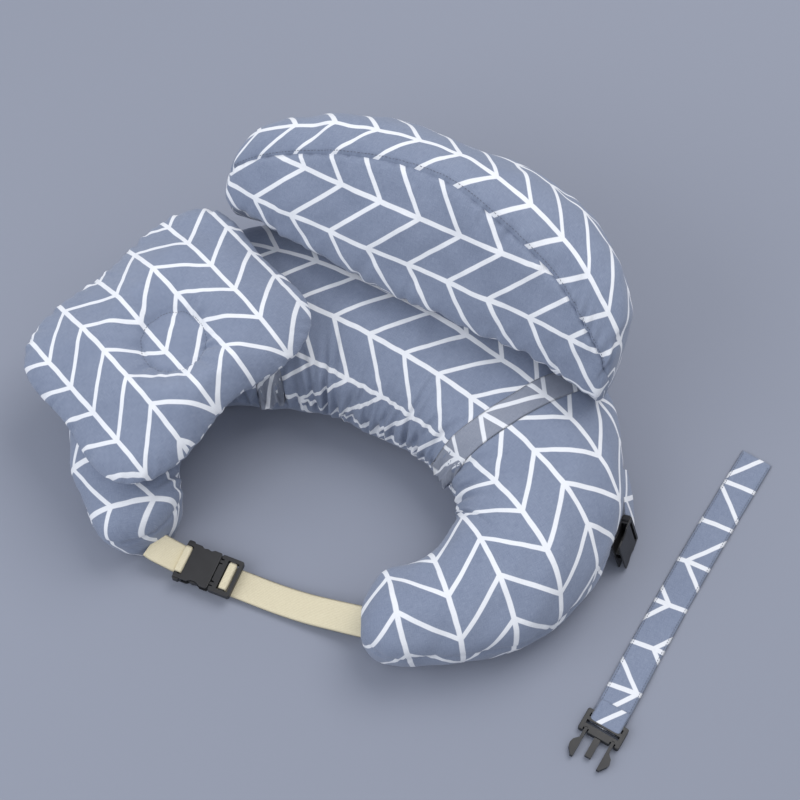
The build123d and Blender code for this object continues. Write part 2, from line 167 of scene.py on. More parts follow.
def weld(piece, distance=0.00005):
    """Joins points that lie together, such as the edges of a closed grid, and faces all normals out."""
    shape = bmesh.new()
    shape.from_mesh(piece.data)
    bmesh.ops.remove_doubles(shape, verts=shape.verts, dist=distance)
    bmesh.ops.recalc_face_normals(shape, faces=shape.faces)
    shape.to_mesh(piece.data)
    shape.free()


def grid_normals(points):
    """Unit normals of a grid of points."""
    normal = np.cross(np.gradient(points, axis=0), np.gradient(points, axis=1))
    return normal / np.maximum(np.linalg.norm(normal, axis=2, keepdims=True), 1e-9)


def along_grid(points, axis):
    """Distance covered along one direction of a grid of points, from its first row or column."""
    steps = np.linalg.norm(np.diff(points, axis=axis), axis=2)
    shape = list(points.shape[:2])
    shape[axis] = 1
    return np.concatenate([np.zeros(shape), np.cumsum(steps, axis=axis)], axis=axis)


# %% Curves and ripples
def through(keys, count):
    """A smooth curve through key points, with count steps from each to the next."""
    keys = np.array(keys, float)
    before, after = 2 * keys[:1] - keys[1:2], 2 * keys[-1:] - keys[-2:-1]
    keys = np.concatenate([before, keys, after])
    curve = []
    for a, b, c, d in zip(keys, keys[1:], keys[2:], keys[3:]):
        for t in np.arange(count) / count:
            curve.append(0.5 * (2 * b + (c - a) * t + (2 * a - 5 * b + 4 * c - d) * t * t
                                + (3 * b - a - 3 * c + d) * t ** 3))
    curve.append(keys[-2])
    return np.array(curve)


def rounded_table(table, blur=7.0):
    """A function that reads between the rows of a table of angles, with its corners rounded."""
    keys, values = np.array(table, float).T
    fine = np.linspace(-200, 200, 1601)
    width = int(blur / 0.25)
    kernel = np.hanning(2 * width + 1)
    level = np.convolve(np.pad(np.interp(np.abs(fine), keys, values), width, mode="edge"),
                        kernel / kernel.sum(), mode="valid")
    return lambda angle: np.interp(angle, fine, level)


def lumps(points, length, seed, waves=14):
    """Gentle unevenness of a stuffed surface, about -1 to 1, with hollows this far apart."""
    dice = np.random.default_rng(seed)
    total = np.zeros(np.asarray(points).shape[:-1])
    for _ in range(waves):
        direction = dice.normal(size=3)
        direction /= np.linalg.norm(direction)
        pitch = 2 * math.pi / (length * dice.uniform(0.7, 1.5))
        total += np.sin(points @ direction * pitch + dice.uniform(0, 2 * math.pi))
    return total / math.sqrt(waves)


def hump(distance, width):
    """1 in the middle, falling smoothly to nearly 0 at twice the width."""
    return np.exp(-(np.asarray(distance) / width) ** 2)


def smooth_step(value, low, high):
    """0 below low and 1 above high, with a soft rise between them."""
    t = np.clip((np.asarray(value, float) - low) / (high - low), 0, 1)
    return t * t * (3 - 2 * t)

# %% [markdown]
# ## The shape of the waist cushion
#
# The cushion is a tube of changing section, bent round the waist. Its centre line is two half ellipses,
# and each section is a pillow shape: a domed top, a seam at its widest height and a flat foot where it
# rests. The two arms differ, because the filling has moved in use: the right arm lies flatter and wider.

# %% Sections along the arms
CENTRE_Y, BACK_REACH = 45.0, 192.0
SEAM_HEIGHT, FOOT_SHARE = 50.0, 0.72
TIP_ROUND = 50.0
BACK_TO_RIGHT = {"reach": 237.0, "front": 160.0, "end": 155.5,
                 "width": [(0, 125), (24, 123), (47, 112), (70, 96), (92, 85), (112, 75), (138, 54)],
                 "top": [(0, 140), (24, 138), (47, 133), (70, 127), (92, 120), (112, 112), (138, 92)]}
BACK_TO_LEFT = {"reach": 238.0, "front": 183.0, "end": 141.5,
                "width": [(0, 125), (24, 122), (47, 106), (70, 80), (92, 66), (112, 60), (126, 54)],
                "top": [(0, 140), (24, 138), (47, 133), (70, 126), (92, 118), (112, 108), (126, 92)]}
for arm in (BACK_TO_RIGHT, BACK_TO_LEFT):
    arm["width at"] = rounded_table(arm["width"])
    arm["top at"] = rounded_table(arm["top"])


def centre_line(angle):
    """Point and outward direction of the centre line, at an angle from the back (right is positive)."""
    arm = BACK_TO_RIGHT if angle >= 0 else BACK_TO_LEFT
    t = math.radians(angle)
    reach_y = BACK_REACH if abs(angle) <= 90 else arm["front"]
    out = np.array([reach_y * math.sin(t), arm["reach"] * math.cos(t)])
    point = np.array([arm["reach"] * math.sin(t), CENTRE_Y + reach_y * math.cos(t)])
    return point, out / np.linalg.norm(out)


def arm_size(angle):
    """Half width and top height at an angle. Both round off at the tip."""
    arm = BACK_TO_RIGHT if angle >= 0 else BACK_TO_LEFT
    width, top = float(arm["width at"](abs(angle))), float(arm["top at"](abs(angle)))
    left = (arm["end"] - abs(angle)) * math.radians((arm["reach"] + arm["front"]) / 2)
    if left < TIP_ROUND:
        k = max(0.0, 1 - (1 - left / TIP_ROUND) ** 2.8) ** 0.5
        width, top = width * k, SEAM_HEIGHT + (top - SEAM_HEIGHT) * k
    return width, top


ease = np.linspace(0, 1, 24) ** 2 * 12
angles = np.concatenate([ease - BACK_TO_LEFT["end"],
                         np.linspace(12 - BACK_TO_LEFT["end"], BACK_TO_RIGHT["end"] - 12, 300)[1:-1],
                         BACK_TO_RIGHT["end"] - ease[::-1]])
centres = np.array([centre_line(t)[0] for t in angles])
outs = np.array([centre_line(t)[1] for t in angles])
sizes = np.array([arm_size(t) for t in angles])
print("waist cushion:", len(angles), "sections, widest", round(2 * sizes[:, 0].max()), "mm")

# %% [markdown]
# ## The waist cushion's cover
#
# The cover is cut flat and sewn round the filling, so its print was straight on the flat cloth. The flat
# panel is a more open C than the finished cushion, and closing the belt bends it further. That is why the
# print turns along each arm, and why the inner edge gathers into creases at the back. Both are made here:
# the flat panel is laid out with a smaller bend, and the creases are pressed in from the inner seam.

# %% Section points and the flat panel
FLAT_BEND = 0.70
PRINT_TURN = math.radians(8)
foot = np.linspace(0, 1, 7, endpoint=False)
low = np.linspace(1, 0, 12, endpoint=False)
dome = np.linspace(0, math.pi, 72)
side_x = np.concatenate([foot * FOOT_SHARE, 1 - (1 - FOOT_SHARE) * low ** 2.5])
side_up = np.concatenate([foot * 0 - 1, -low])
section_x = np.concatenate([side_x, np.cos(dome), -side_x[::-1]])
section_up = np.concatenate([side_up, np.sin(dome) ** 0.9, side_up[::-1]])
top_column = len(side_x) + 36

waist_grid = np.zeros((len(angles), len(section_x), 3))
for i, (width, top) in enumerate(sizes):
    waist_grid[i, :, :2] = centres[i] + (section_x * width)[:, None] * outs[i]
    rise_above = (top - SEAM_HEIGHT) * section_up
    waist_grid[i, :, 2] = SEAM_HEIGHT + np.where(section_up > 0, rise_above, SEAM_HEIGHT * section_up)

steps = np.linalg.norm(np.diff(centres, axis=0), axis=1)
run = np.concatenate([[0], np.cumsum(steps)])
back = int(np.argmin(np.abs(angles)))
run -= run[back]
heading = np.unwrap(np.arctan2(outs[:, 1], outs[:, 0]))
flat_heading = math.pi / 2 + (heading - heading[back]) * FLAT_BEND + PRINT_TURN
flat_out = np.stack([np.cos(flat_heading), np.sin(flat_heading)], axis=1)
flat_step = np.stack([flat_out[:, 1], -flat_out[:, 0]], axis=1)
flat_moves = (flat_step[1:] + flat_step[:-1]) / 2 * steps[:, None]
flat_line = np.cumsum(np.concatenate([[[0, 0]], flat_moves]), axis=0)
flat_line -= flat_line[back]
section_run = along_grid(waist_grid, 1)
from_top = section_run[:, top_column][:, None] - section_run
waist_cloth = flat_line[:, None, :] + flat_out[:, None, :] * from_top[..., None]
print("flat panel", np.ptp(waist_cloth[..., 0]).round(), "x", np.ptp(waist_cloth[..., 1]).round(), "mm")

# %% [markdown]
# ## Creases and gathers
#
# Cloth that is pushed together does not shrink. It buckles into folds that start at the stitched edge,
# where it is held, and fade out over the filling. Each crease here is one long narrow valley with a soft
# ridge on both sides, at an uneven spacing from a seeded dice, so that every run gives the same pillow.


# %% Creases from a seam
def creases(position, from_seam, spots, seed, depth=(2, 5), width=(5, 9), reach=(30, 70), slant=0.35):
    """Valleys that start at a seam: position runs along it, and from_seam away from it."""
    dice = np.random.default_rng(seed)
    total = np.zeros(np.shape(from_seam))
    for spot in spots:
        d, w, r = (dice.uniform(*pair) for pair in (depth, width, reach))
        lean = dice.uniform(-slant, slant)
        off = position - spot - lean * from_seam
        fade = hump(np.maximum(from_seam, 0), r) * smooth_step(from_seam, -25, 4)
        total += d * fade * (-hump(off, w) + 0.45 * hump(np.abs(off) - 1.9 * w, w))
    return total


def uneven(start, stop, pitch, seed):
    """Places between start and stop, about a pitch apart."""
    dice = np.random.default_rng(seed)
    places = np.arange(start, stop, pitch)
    return places + dice.uniform(-0.35, 0.35, len(places)) * pitch


from_inner = section_run[:, -1][:, None] - section_run - section_run[:, len(side_x)][:, None]
from_outer = section_run - section_run[:, len(side_x)][:, None]
along_run = run[:, None] + 0 * from_inner
press = creases(along_run, from_inner, uneven(-330, 360, 21, 3), 4, (2.0, 5.4), (3.5, 6.5), (28, 72))
press += creases(along_run, from_inner, uneven(-60, 200, 19, 5), 6, (2.6, 5.6), (3.5, 6), (50, 105), 0.5)
press += creases(along_run, from_inner, uneven(-470, 560, 9, 7), 8, (0.4, 1.2), (2, 3), (7, 14))
press += creases(along_run, from_outer, uneven(-520, 560, 10, 9), 10, (0.3, 1.0), (2, 3), (7, 16))
press += creases(along_run, from_inner, uneven(-475, -330, 15, 11), 12, (2.4, 4.6), (3.5, 5.5), (28, 60),
                 0.6)
press += 2.0 * lumps(waist_grid, 85, 13) + 0.8 * lumps(waist_grid, 32, 14)
seam_dip = 2.2 * (hump(from_inner, 3.0) + hump(from_outer, 3.0))
rest_on_floor = smooth_step(waist_grid[..., 2], 2, 25)
tip_calm = smooth_step(sizes[:, 0], 5, 30)[:, None]
waist_out = grid_normals(waist_grid)
if (waist_out[back, top_column] * (0, 0, 1)).sum() < 0:
    waist_out = -waist_out
waist_skin = waist_grid + waist_out * ((press * tip_calm - seam_dip) * rest_on_floor)[..., None]
waist_skin[..., 2] = np.maximum(waist_skin[..., 2], 0)
print("deepest crease", round(-press.min(), 1), "mm, in", len(angles) * len(section_x), "points")

# %% Make the cover
rows, columns = waist_skin.shape[:2]
waist_cover = make_piece("waist_cushion_cover", waist_skin.reshape(-1, 3), grid_faces(rows, columns),
                         waist_cloth.reshape(-1, 2))
weld(waist_cover)
waist_tree = BVHTree.FromObject(waist_cover, bpy.context.evaluated_depsgraph_get())


def waist_height(x, y, missing=0.0):
    """Height of the waist cushion's top above a point, in millimetres."""
    hit = waist_tree.ray_cast(Vector((x * MM, y * MM, 0.5)), Vector((0, 0, -1)))[0]
    return missing if hit is None else hit.z / MM


place_piece(waist_cover, "waist_cushion", "printed_cotton", "waist_cover", "waist_filling")
print("height at the back", round(waist_height(0, 237), 1), "mm")

# %% [markdown]
# ## The raised cushion
#
# The half-moon cushion is sewn from a front panel, a band round the curved side (a gusset) and a base
# panel. Its straight side faces the wearer and its round side stands up at the back. The section is drawn
# once, as shares of the depth and the height, and both shrink towards the two ends. The seam between the
# front panel and the gusset slides down towards the right end, and that end sags a little to the front.

# %% Section of the half-moon
RAISED_AT, RAISED_TURN = np.array([18.0, 229.0]), math.radians(-8)
HALF_LENGTH, FRONT_BOW, SEAT, SKEW = 247.0, 12.0, 144.0, 0.12
MIDDLE_SIZE, END_SIZE = np.array([184.0, 143.0]), np.array([44.0, 58.0])
LOWEST_BASE, UNDER_AIR = 112.0, 3.0
PROFILE = [(0.07, 0.03), (0.0, 0.18), (0.04, 0.36), (0.20, 0.66), (0.42, 0.92),
           (0.60, 1.0), (0.78, 0.93), (0.95, 0.66), (1.0, 0.34), (0.97, 0.06)]
FINE = 9
SEAM = 4 * FINE
profile = through(PROFILE, FINE)
SEAM_SHARES = [(-1.0, 0.78), (-0.75, 0.92), (-0.35, 1.05), (0.0, 1.08), (0.3, 0.99), (0.65, 0.84),
               (1.0, 0.64)]
END_SAG = 12.0
base_q = np.linspace(PROFILE[-1][0] - 0.02, PROFILE[0][0] + 0.03, 30)
share_table = through([(u, share, 0) for u, share in SEAM_SHARES], 12)
seam_line = (share_table[:, 0], share_table[:, 1])
stretch = np.concatenate([-1 + np.linspace(0, 1, 16) ** 2 * 0.05, np.linspace(-0.95, 0.95, 170)[1:-1],
                          1 - np.linspace(1, 0, 16) ** 2 * 0.05])


def raised_to_world(x, y, z):
    """A point of the raised cushion's own frame, whose X runs along its straight side."""
    c, s = math.cos(RAISED_TURN), math.sin(RAISED_TURN)
    return np.stack([RAISED_AT[0] + c * x - s * y, RAISED_AT[1] + s * x + c * y, z], axis=-1)


def slide_seam(wall, share):
    """The same wall, with its seam at a share of the seam's usual distance from the base."""
    run_up = np.concatenate([[0], np.cumsum(np.linalg.norm(np.diff(wall, axis=0), axis=1))])
    moved = np.where(run_up <= run_up[SEAM], run_up * share,
                     run_up[-1] - (run_up[-1] - run_up) * (run_up[-1] - share * run_up[SEAM])
                     / (run_up[-1] - run_up[SEAM]))
    return np.stack([np.interp(moved, run_up, wall[:, axis]) for axis in range(3)], axis=-1)


def raised_section(u):
    """Closed section at u, from -1 at one end to 1 at the other: wall points, then base points."""
    k = math.sqrt(max(0.0, 1 - abs(u - SKEW * (1 - u * u)) ** 2.2))
    depth, height = END_SIZE + (MIDDLE_SIZE - END_SIZE) * k
    x = HALF_LENGTH * u
    front_y = -FRONT_BOW * (1 - u * u) - END_SAG * smooth_step(u, 0.55, 1.0)
    wall = raised_to_world(x, profile[:, 0] * depth + front_y, SEAT + profile[:, 1] * height)
    wall = slide_seam(wall, np.interp(u, *seam_line))
    base = raised_to_world(x, base_q * depth + front_y, np.zeros(len(base_q)))
    for point in base:
        point[2] = max(waist_height(point[0], point[1]) + UNDER_AIR, LOWEST_BASE)
    base[:, 2] = np.convolve(np.pad(base[:, 2], 3, mode="edge"), np.ones(7) / 7, mode="valid")
    for i in range(6):
        share = (6 - i) / 7
        base[i, 2] += (wall[-1, 2] - base[i, 2]) * share ** 2
        base[-1 - i, 2] += (wall[0, 2] - base[-1 - i, 2]) * share ** 2
    section = np.concatenate([wall, base])
    middle = section.mean(axis=0)
    ending = max(0.0, (abs(u) - 0.95) / 0.05)
    return middle + (section - middle) * math.sqrt(max(0.0, 1 - ending ** 2.4))


raised_grid = np.array([raised_section(u) for u in stretch])
raised_grid = np.concatenate([raised_grid, raised_grid[:, :1]], axis=1)
wall_end = len(profile) - 1
print("raised cushion:", raised_grid.shape[:2], "points, top at", raised_grid[..., 2].max().round(), "mm")

# %% [markdown]
# ## Its three panels
#
# Each panel has its own place on the flat cloth. The front panel's print runs parallel to its straight
# lower edge, and one line of the print follows the middle of the gusset all round the curve. At the seam
# the two prints meet at an angle, which is what makes the seam visible at all.

# %% Flat cloth for each panel
FRONT_TURN = math.radians(-3)
GUSSET_LINE = 38.0
around = along_grid(raised_grid, 1)
front_x = np.repeat((HALF_LENGTH * stretch)[:, None], raised_grid.shape[1], axis=1)
front_y = around - 12 * np.cos(front_x / HALF_LENGTH * 1.4)
front_cloth = np.stack([front_x * math.cos(FRONT_TURN) - front_y * math.sin(FRONT_TURN),
                        front_x * math.sin(FRONT_TURN) + front_y * math.cos(FRONT_TURN)], axis=-1)
gusset_path = along_grid(raised_grid[:, SEAM + 12:SEAM + 13], 0)
gusset_cloth = np.stack([gusset_path - gusset_path.mean() + 0 * around,
                         around - around[:, SEAM:SEAM + 1]], axis=-1)
base_cloth = np.stack([front_x, around - around[:, wall_end:wall_end + 1]], axis=-1)

# %% Creases, seam valleys and the uneven filling
along_seam = along_grid(raised_grid[:, SEAM:SEAM + 1], 0) + 0 * around
from_seam = around - around[:, SEAM:SEAM + 1]
along_front = along_grid(raised_grid[:, 2:3], 0) + 0 * around
length_of_seam = along_seam.max()
swell = 2.4 * lumps(raised_grid, 95, 21) + 0.9 * lumps(raised_grid, 34, 22)
for side, seed in ((1, 23), (-1, 24)):
    swell += creases(along_seam, side * from_seam, uneven(10, length_of_seam, 17, seed), seed,
                     (0.5, 1.7), (2.5, 4.5), (9, 24)) * (side * from_seam > -1)
swell += creases(along_seam, from_seam, uneven(length_of_seam - 120, length_of_seam - 15, 14, 25), 26,
                 (1.5, 3.0), (3, 5), (18, 36)) * (from_seam > -1)
fold_spots = uneven(20, along_front.max(), 26, 27)
from_base = around
swell += creases(along_front, from_base, fold_spots, 28, (1.2, 3.6), (3.5, 6.0), (16, 48))
swell -= 3.2 * hump(from_seam, 2.4)
ends_calm = smooth_step(1 - np.abs(stretch), 0.0, 0.03)[:, None]
columns_on_base = np.arange(raised_grid.shape[1]) > wall_end
swell = np.where(columns_on_base, np.minimum(swell, 0.3) * 0.4, swell) * ends_calm
swell[:, -1] = swell[:, 0]
raised_out = grid_normals(raised_grid)
middle_row = len(stretch) // 2
if raised_out[middle_row, SEAM + FINE, 2] < 0:
    raised_out = -raised_out
raised_out[:, -1] = raised_out[:, 0]
raised_skin = raised_grid + raised_out * swell[..., None]


# %% Make the panels
def panel(name, first, last, cloth):
    """One sewn panel: the columns of the half-moon from first to last."""
    part, part_cloth = raised_skin[:, first:last + 1], cloth[:, first:last + 1]
    return make_piece(name, part.reshape(-1, 3), grid_faces(*part.shape[:2]), part_cloth.reshape(-1, 2))


front_panel = panel("raised_front_panel_cloth", 0, SEAM, front_cloth)
gusset = panel("raised_gusset_cloth", SEAM, wall_end, gusset_cloth)
base_panel = panel("raised_base_cloth", wall_end, raised_skin.shape[1] - 1, base_cloth)
raised_parts = {front_panel: ["raised_front_panel"], gusset: ["raised_gusset", "raised_filling"],
                base_panel: ["raised_base_panel"]}
for piece, nodes in raised_parts.items():
    weld(piece)
    place_piece(piece, "raised_cushion", "printed_cotton", *nodes)
print("seam", round(length_of_seam), "mm long")

# %% [markdown]
# ## The head pillow
#
# Two square panels are sewn together round the edge and stuffed, and a stitched circle pulls the top down
# into a dimple for the baby's head. A stuffed square never stays square: its sides pull in between the
# corners, and the seam ruffles. On this one two corners are longer, and the circle sits off the middle.
# Polar rings suit it, because the dimple, the circle of stitches and the rim are then all clean loops.

# %% Outline and frame of the head pillow
HEAD_AT = np.array([-212.0, 87.0, 151.0])
HEAD_TURN = math.radians(-27)
HEAD_UP = np.array([-0.095, -0.107, 1.0])
HEAD_HALF = np.array([123.0, 151.0])
HEAD_THICK, PRINT_ON_HEAD, PRINT_SHIFT = 36.0, math.radians(0.8), np.array([14.7, 16.9])
STITCH_RADIUS, DIMPLE = 35.0, 21.0
SQUARENESS, PULL = 3.6, 0.06
DIMPLE_AT = (28.0, -3.0)
LONG_CORNERS = ((309, 0.07), (129, 0.035))
RINGS, SPOKES = 70, 360
head_up = HEAD_UP / np.linalg.norm(HEAD_UP)
head_x = np.array([math.cos(HEAD_TURN), math.sin(HEAD_TURN), 0.0])
head_x -= head_up * (head_x @ head_up)
head_x /= np.linalg.norm(head_x)
head_y = np.cross(head_up, head_x)

spoke = np.linspace(0, 2 * math.pi, SPOKES, endpoint=False)
c, s = np.cos(spoke), np.sin(spoke)
edge_reach = np.abs(c / HEAD_HALF[0]) ** SQUARENESS + np.abs(s / HEAD_HALF[1]) ** SQUARENESS
edge_reach = edge_reach ** (-1 / SQUARENESS)
uneven_edge = 0.008 * lumps(np.stack([c, s, 0 * c], -1), 1.2, 31)
edge_reach *= 1 - PULL * (0.5 + 0.5 * np.cos(4 * spoke)) ** 1.5 + uneven_edge
for corner, longer in LONG_CORNERS:
    away = (np.degrees(spoke) - corner + 180) % 360 - 180
    edge_reach *= 1 + longer * hump(away, 30)
ruffle_path = np.cumsum(edge_reach) * (2 * math.pi / SPOKES)
RUFFLE_WAVES = ((19, 0.3), (13, 1.9), (29, 4.0))
ruffle = sum(np.sin(ruffle_path * 2 * math.pi / pitch + phase) for pitch, phase in RUFFLE_WAVES)
print("head pillow", (2 * edge_reach[0]).round(), "x", (2 * edge_reach[SPOKES // 4]).round(), "mm")

# %% Top and bottom
ring = 1 - (1 - np.linspace(0, 1, RINGS)) ** 1.5
ring = ring[:, None] + 0 * spoke
round_reach = edge_reach.mean()
reach_out = ring * (round_reach + (edge_reach - round_reach) * smooth_step(ring, 0.25, 0.85))
flat_x = reach_out * c + DIMPLE_AT[0] * (1 - ring ** 2)
flat_y = reach_out * s + DIMPLE_AT[1] * (1 - ring ** 2)
from_rim = edge_reach - reach_out
crown = (1 - ring ** 3.0) ** 0.62
head_rows = np.stack([flat_x, flat_y, 0 * flat_x], axis=-1)
rim_path = ruffle_path + 0 * ring
puckers = creases(rim_path, from_rim, uneven(6, ruffle_path[-1], 15, 33), 34, (0.3, 1.7), (2.4, 4.6),
                  (8, 26))
puckers += 2.0 * lumps(head_rows, 70, 35) * crown + 0.7 * lumps(head_rows, 26, 36) * crown
from_circle = reach_out - STITCH_RADIUS
bowl = DIMPLE * (1 - smooth_step(reach_out, 20, 72))
circle_dip = 4.0 * hump(from_circle, 3.0) - 5.0 * hump(reach_out, 24)
spin = spoke * STITCH_RADIUS + 0 * ring
radial = creases(spin, from_circle, uneven(4, 2 * math.pi * STITCH_RADIUS - 4, 16, 37), 38,
                 (1.4, 3.4), (2.4, 4.4), (18, 44), 0.1) * (from_circle > 0)
top_lift = crown * HEAD_THICK + puckers + radial * crown - (bowl + circle_dip) * crown
under_lift = -crown * HEAD_THICK * 0.95 - puckers * 0.6
flutter = 1.1 * ruffle * hump(from_rim, 7)
middle_sheet = HEAD_AT + (flat_x[..., None] * head_x + flat_y[..., None] * head_y)
top = middle_sheet + (top_lift + flutter)[..., None] * head_up
under = middle_sheet + (under_lift + flutter)[..., None] * head_up
droop = 16 * smooth_step(np.hypot(flat_x - 25, flat_y - 10) / 150, 0.45, 1.0)
top[..., 2] -= droop
under[..., 2] -= droop
RESTING_AIR = 1.2
for row in range(RINGS):
    for k in range(SPOKES):
        floor_here = waist_height(under[row, k, 0], under[row, k, 1]) + RESTING_AIR
        under[row, k, 2] = max(under[row, k, 2], floor_here)
        top[row, k, 2] = max(top[row, k, 2], under[row, k, 2] + 3 * from_rim[row, k] / 30)
top[-1] = under[-1]
print("lowest point", under[..., 2].min().round(), "mm, highest", top[..., 2].max().round(), "mm")

# %% Make the head pillow's two covers
head_points = np.concatenate([top.reshape(-1, 3), under.reshape(-1, 3)])
head_flat = np.stack([flat_x * 1.12, flat_y * 1.12], axis=-1) + PRINT_SHIFT
print_cos, print_sin = math.cos(PRINT_ON_HEAD), math.sin(PRINT_ON_HEAD)
head_flat = np.stack([head_flat[..., 0] * print_cos - head_flat[..., 1] * print_sin,
                      head_flat[..., 0] * print_sin + head_flat[..., 1] * print_cos], -1)
head_faces = []
for sheet_start in (0, RINGS * SPOKES):
    for i in range(RINGS - 1):
        for k in range(SPOKES):
            j = (k + 1) % SPOKES
            a = sheet_start + i * SPOKES
            head_faces.append((a + k, a + j, a + SPOKES + j, a + SPOKES + k))
head_pillow = make_piece("head_pillow_cloth", head_points, head_faces,
                         np.concatenate([head_flat.reshape(-1, 2), head_flat.reshape(-1, 2) + (31, 17)]))
weld(head_pillow)
place_piece(head_pillow, "head_pillow", "printed_cotton", "head_pillow_cover", "head_pillow_filling")

# %% [markdown]
# ## Stitches
#
# A row of stitches is a row of short threads, each sunk a little into the cloth. Seen close, it is the
# shadow of each stitch that is noticed, so every stitch is its own small rounded bar.


# %% Stitches along a line
def stitches(name, line, normals, pitch=4.2, length=2.6, thick=0.8, sink=0.1):
    """Short rounded bars along a line of points in millimetres, one per pitch."""
    line, normals = np.asarray(line, float), np.asarray(normals, float)
    path = np.concatenate([[0], np.cumsum(np.linalg.norm(np.diff(line, axis=0), axis=1))])
    shape = [(-0.5, 0.25), (-0.4, 0.8), (0, 1.0), (0.4, 0.8), (0.5, 0.25)]
    points, faces = [], []
    for place in np.arange(pitch, path[-1] - pitch, pitch):
        at = np.array([np.interp(place, path, line[:, i]) for i in range(3)])
        ahead = np.array([np.interp(place + 0.5, path, line[:, i]) for i in range(3)]) - at
        ahead /= np.linalg.norm(ahead)
        up = np.array([np.interp(place, path, normals[:, i]) for i in range(3)])
        side = np.cross(up, ahead)
        side /= np.linalg.norm(side)
        up = np.cross(ahead, side)
        first = len(points)
        for along, size in shape:
            for k in range(6):
                spin = k * math.pi / 3
                offset = (side * math.cos(spin) + up * math.sin(spin)) * size * thick / 2
                points.append(at + ahead * along * length + offset - up * sink)
        for i in range(len(shape) - 1):
            for k in range(6):
                a, b = first + i * 6 + k, first + i * 6 + (k + 1) % 6
                faces.append((a, b, b + 6, a + 6))
        faces.append(tuple(first + k for k in reversed(range(6))))
        faces.append(tuple(first + 6 * (len(shape) - 1) + k for k in range(6)))
    return make_piece(name, points, faces)


seam_rows = slice(12, len(stretch) - 12)
beside_seam = SEAM + 1
top_stitch = stitches("raised_seam_stitches", raised_skin[seam_rows, beside_seam],
                      raised_out[seam_rows, beside_seam])
place_piece(top_stitch, "raised_cushion", "stitch_thread")

row = int(np.argmin(np.abs(reach_out[:, 0] - STITCH_RADIUS)))
ring_line = np.concatenate([top[row], top[row, :4]])
ring_stitch = stitches("head_circle_stitches", ring_line, np.repeat(head_up[None], len(ring_line), axis=0),
                       pitch=3.6, length=2.4, thick=0.9)
place_piece(ring_stitch, "head_pillow", "stitch_thread", "head_dimple_stitch")
FACES_PER_STITCH = 26
for piece, where in ((top_stitch, "on the gusset"), (ring_stitch, "in the circle")):
    print(len(piece.data.polygons) // FACES_PER_STITCH, "stitches", where)

# %% [markdown]
# ## Straps, grip patches and zip tapes
#
# These lie on the cushions. A strap that lies on a soft cushion takes its height from the cushion under
# it, so each is a ribbon of points dropped on to the cover along rays, then thickened. Two ribbons hold
# the loose cushions to the waist cushion, and the grip patches keep the raised one from sliding.


# %% Ribbons
def ribbon(name, upper, down, thick):
    """A closed strip from a grid of points on its upper face; down is the way to its lower face."""
    upper = np.asarray(upper, float)
    rows, columns = upper.shape[:2]
    edge = np.minimum(np.arange(columns), np.arange(columns)[::-1])
    puff = np.minimum(edge / 1.5, 1.0)[None, :, None]
    lower = upper + np.asarray(down) * thick
    upper = upper * puff + (upper + lower) / 2 * (1 - puff)
    lower = lower * puff + upper * (1 - puff)
    along = along_grid(upper, 0).mean(axis=1, keepdims=True)
    across = along_grid(upper, 1)[rows // 2]
    cloth = np.stack(np.broadcast_arrays(across[None, :] + 0 * along, along + 0 * across[None, :]), axis=-1)
    points = np.concatenate([upper.reshape(-1, 3), lower.reshape(-1, 3)])
    faces = grid_faces(rows, columns)
    faces += [face[::-1] for face in grid_faces(rows, columns, rows * columns)]
    n = rows * columns
    for i in range(rows - 1):
        a, b = i * columns, i * columns + columns - 1
        faces.append((a, a + columns, a + columns + n, a + n))
        faces.append((b, b + n, b + columns + n, b + columns))
    last = (rows - 1) * columns
    for j in range(columns - 1):
        faces.append((j, j + n, j + 1 + n, j + 1))
        faces.append((last + j, last + j + 1, last + j + 1 + n, last + j + n))
    piece = make_piece(name, points, faces, np.concatenate([cloth.reshape(-1, 2), cloth.reshape(-1, 2)]))
    weld(piece, 0.00001)
    return piece


def laid(start, end, width, lift, rows=60, columns=13):
    """Grid of points lying on the waist cushion, along a line in plan, in millimetres."""
    start, end = np.array(start, float), np.array(end, float)
    along = (end - start) / np.linalg.norm(end - start)
    side = np.array([-along[1], along[0]])
    grid = np.zeros((rows, columns, 3))
    for i, t in enumerate(np.linspace(0, 1, rows)):
        for j, w in enumerate(np.linspace(-0.5, 0.5, columns)):
            x, y = start + (end - start) * t + side * w * width
            grid[i, j] = x, y, waist_height(x, y, missing=-1)
    for j in range(columns):
        for i in reversed(range(rows - 1)):
            if grid[i, j, 2] < 0:
                grid[i, j, 2] = max(grid[i + 1, j, 2] - 4, SEAM_HEIGHT)
    kernel = np.array([1, 2, 3, 2, 1]) / 9
    level = np.apply_along_axis(lambda z: np.convolve(np.pad(z, 2, mode="edge"), kernel, "valid"), 0,
                                grid[..., 2])
    grid[..., 2] = np.maximum(level, grid[..., 2]) + lift
    return grid


DOWN = np.array([0, 0, -1.0])
STRAP_WIDTH, STRAP_THICK = 30.0, 1.2
STRAPS = {"right_retaining_strap": ((117, 76), (240, 241)),
          "left_retaining_strap": ((-90, 92), (-196, 238))}
for node, (start, end) in STRAPS.items():
    grid = laid(start, end, STRAP_WIDTH, STRAP_THICK + 0.3)
    strap = ribbon(node + "_cloth", grid, DOWN, STRAP_THICK)
    length = np.linalg.norm(np.diff(grid[:, 6], axis=0), axis=1).sum()
    place_piece(strap, "waist_cushion", "strap_cotton", node)
    print(node, "is cut", round(length), "mm long")

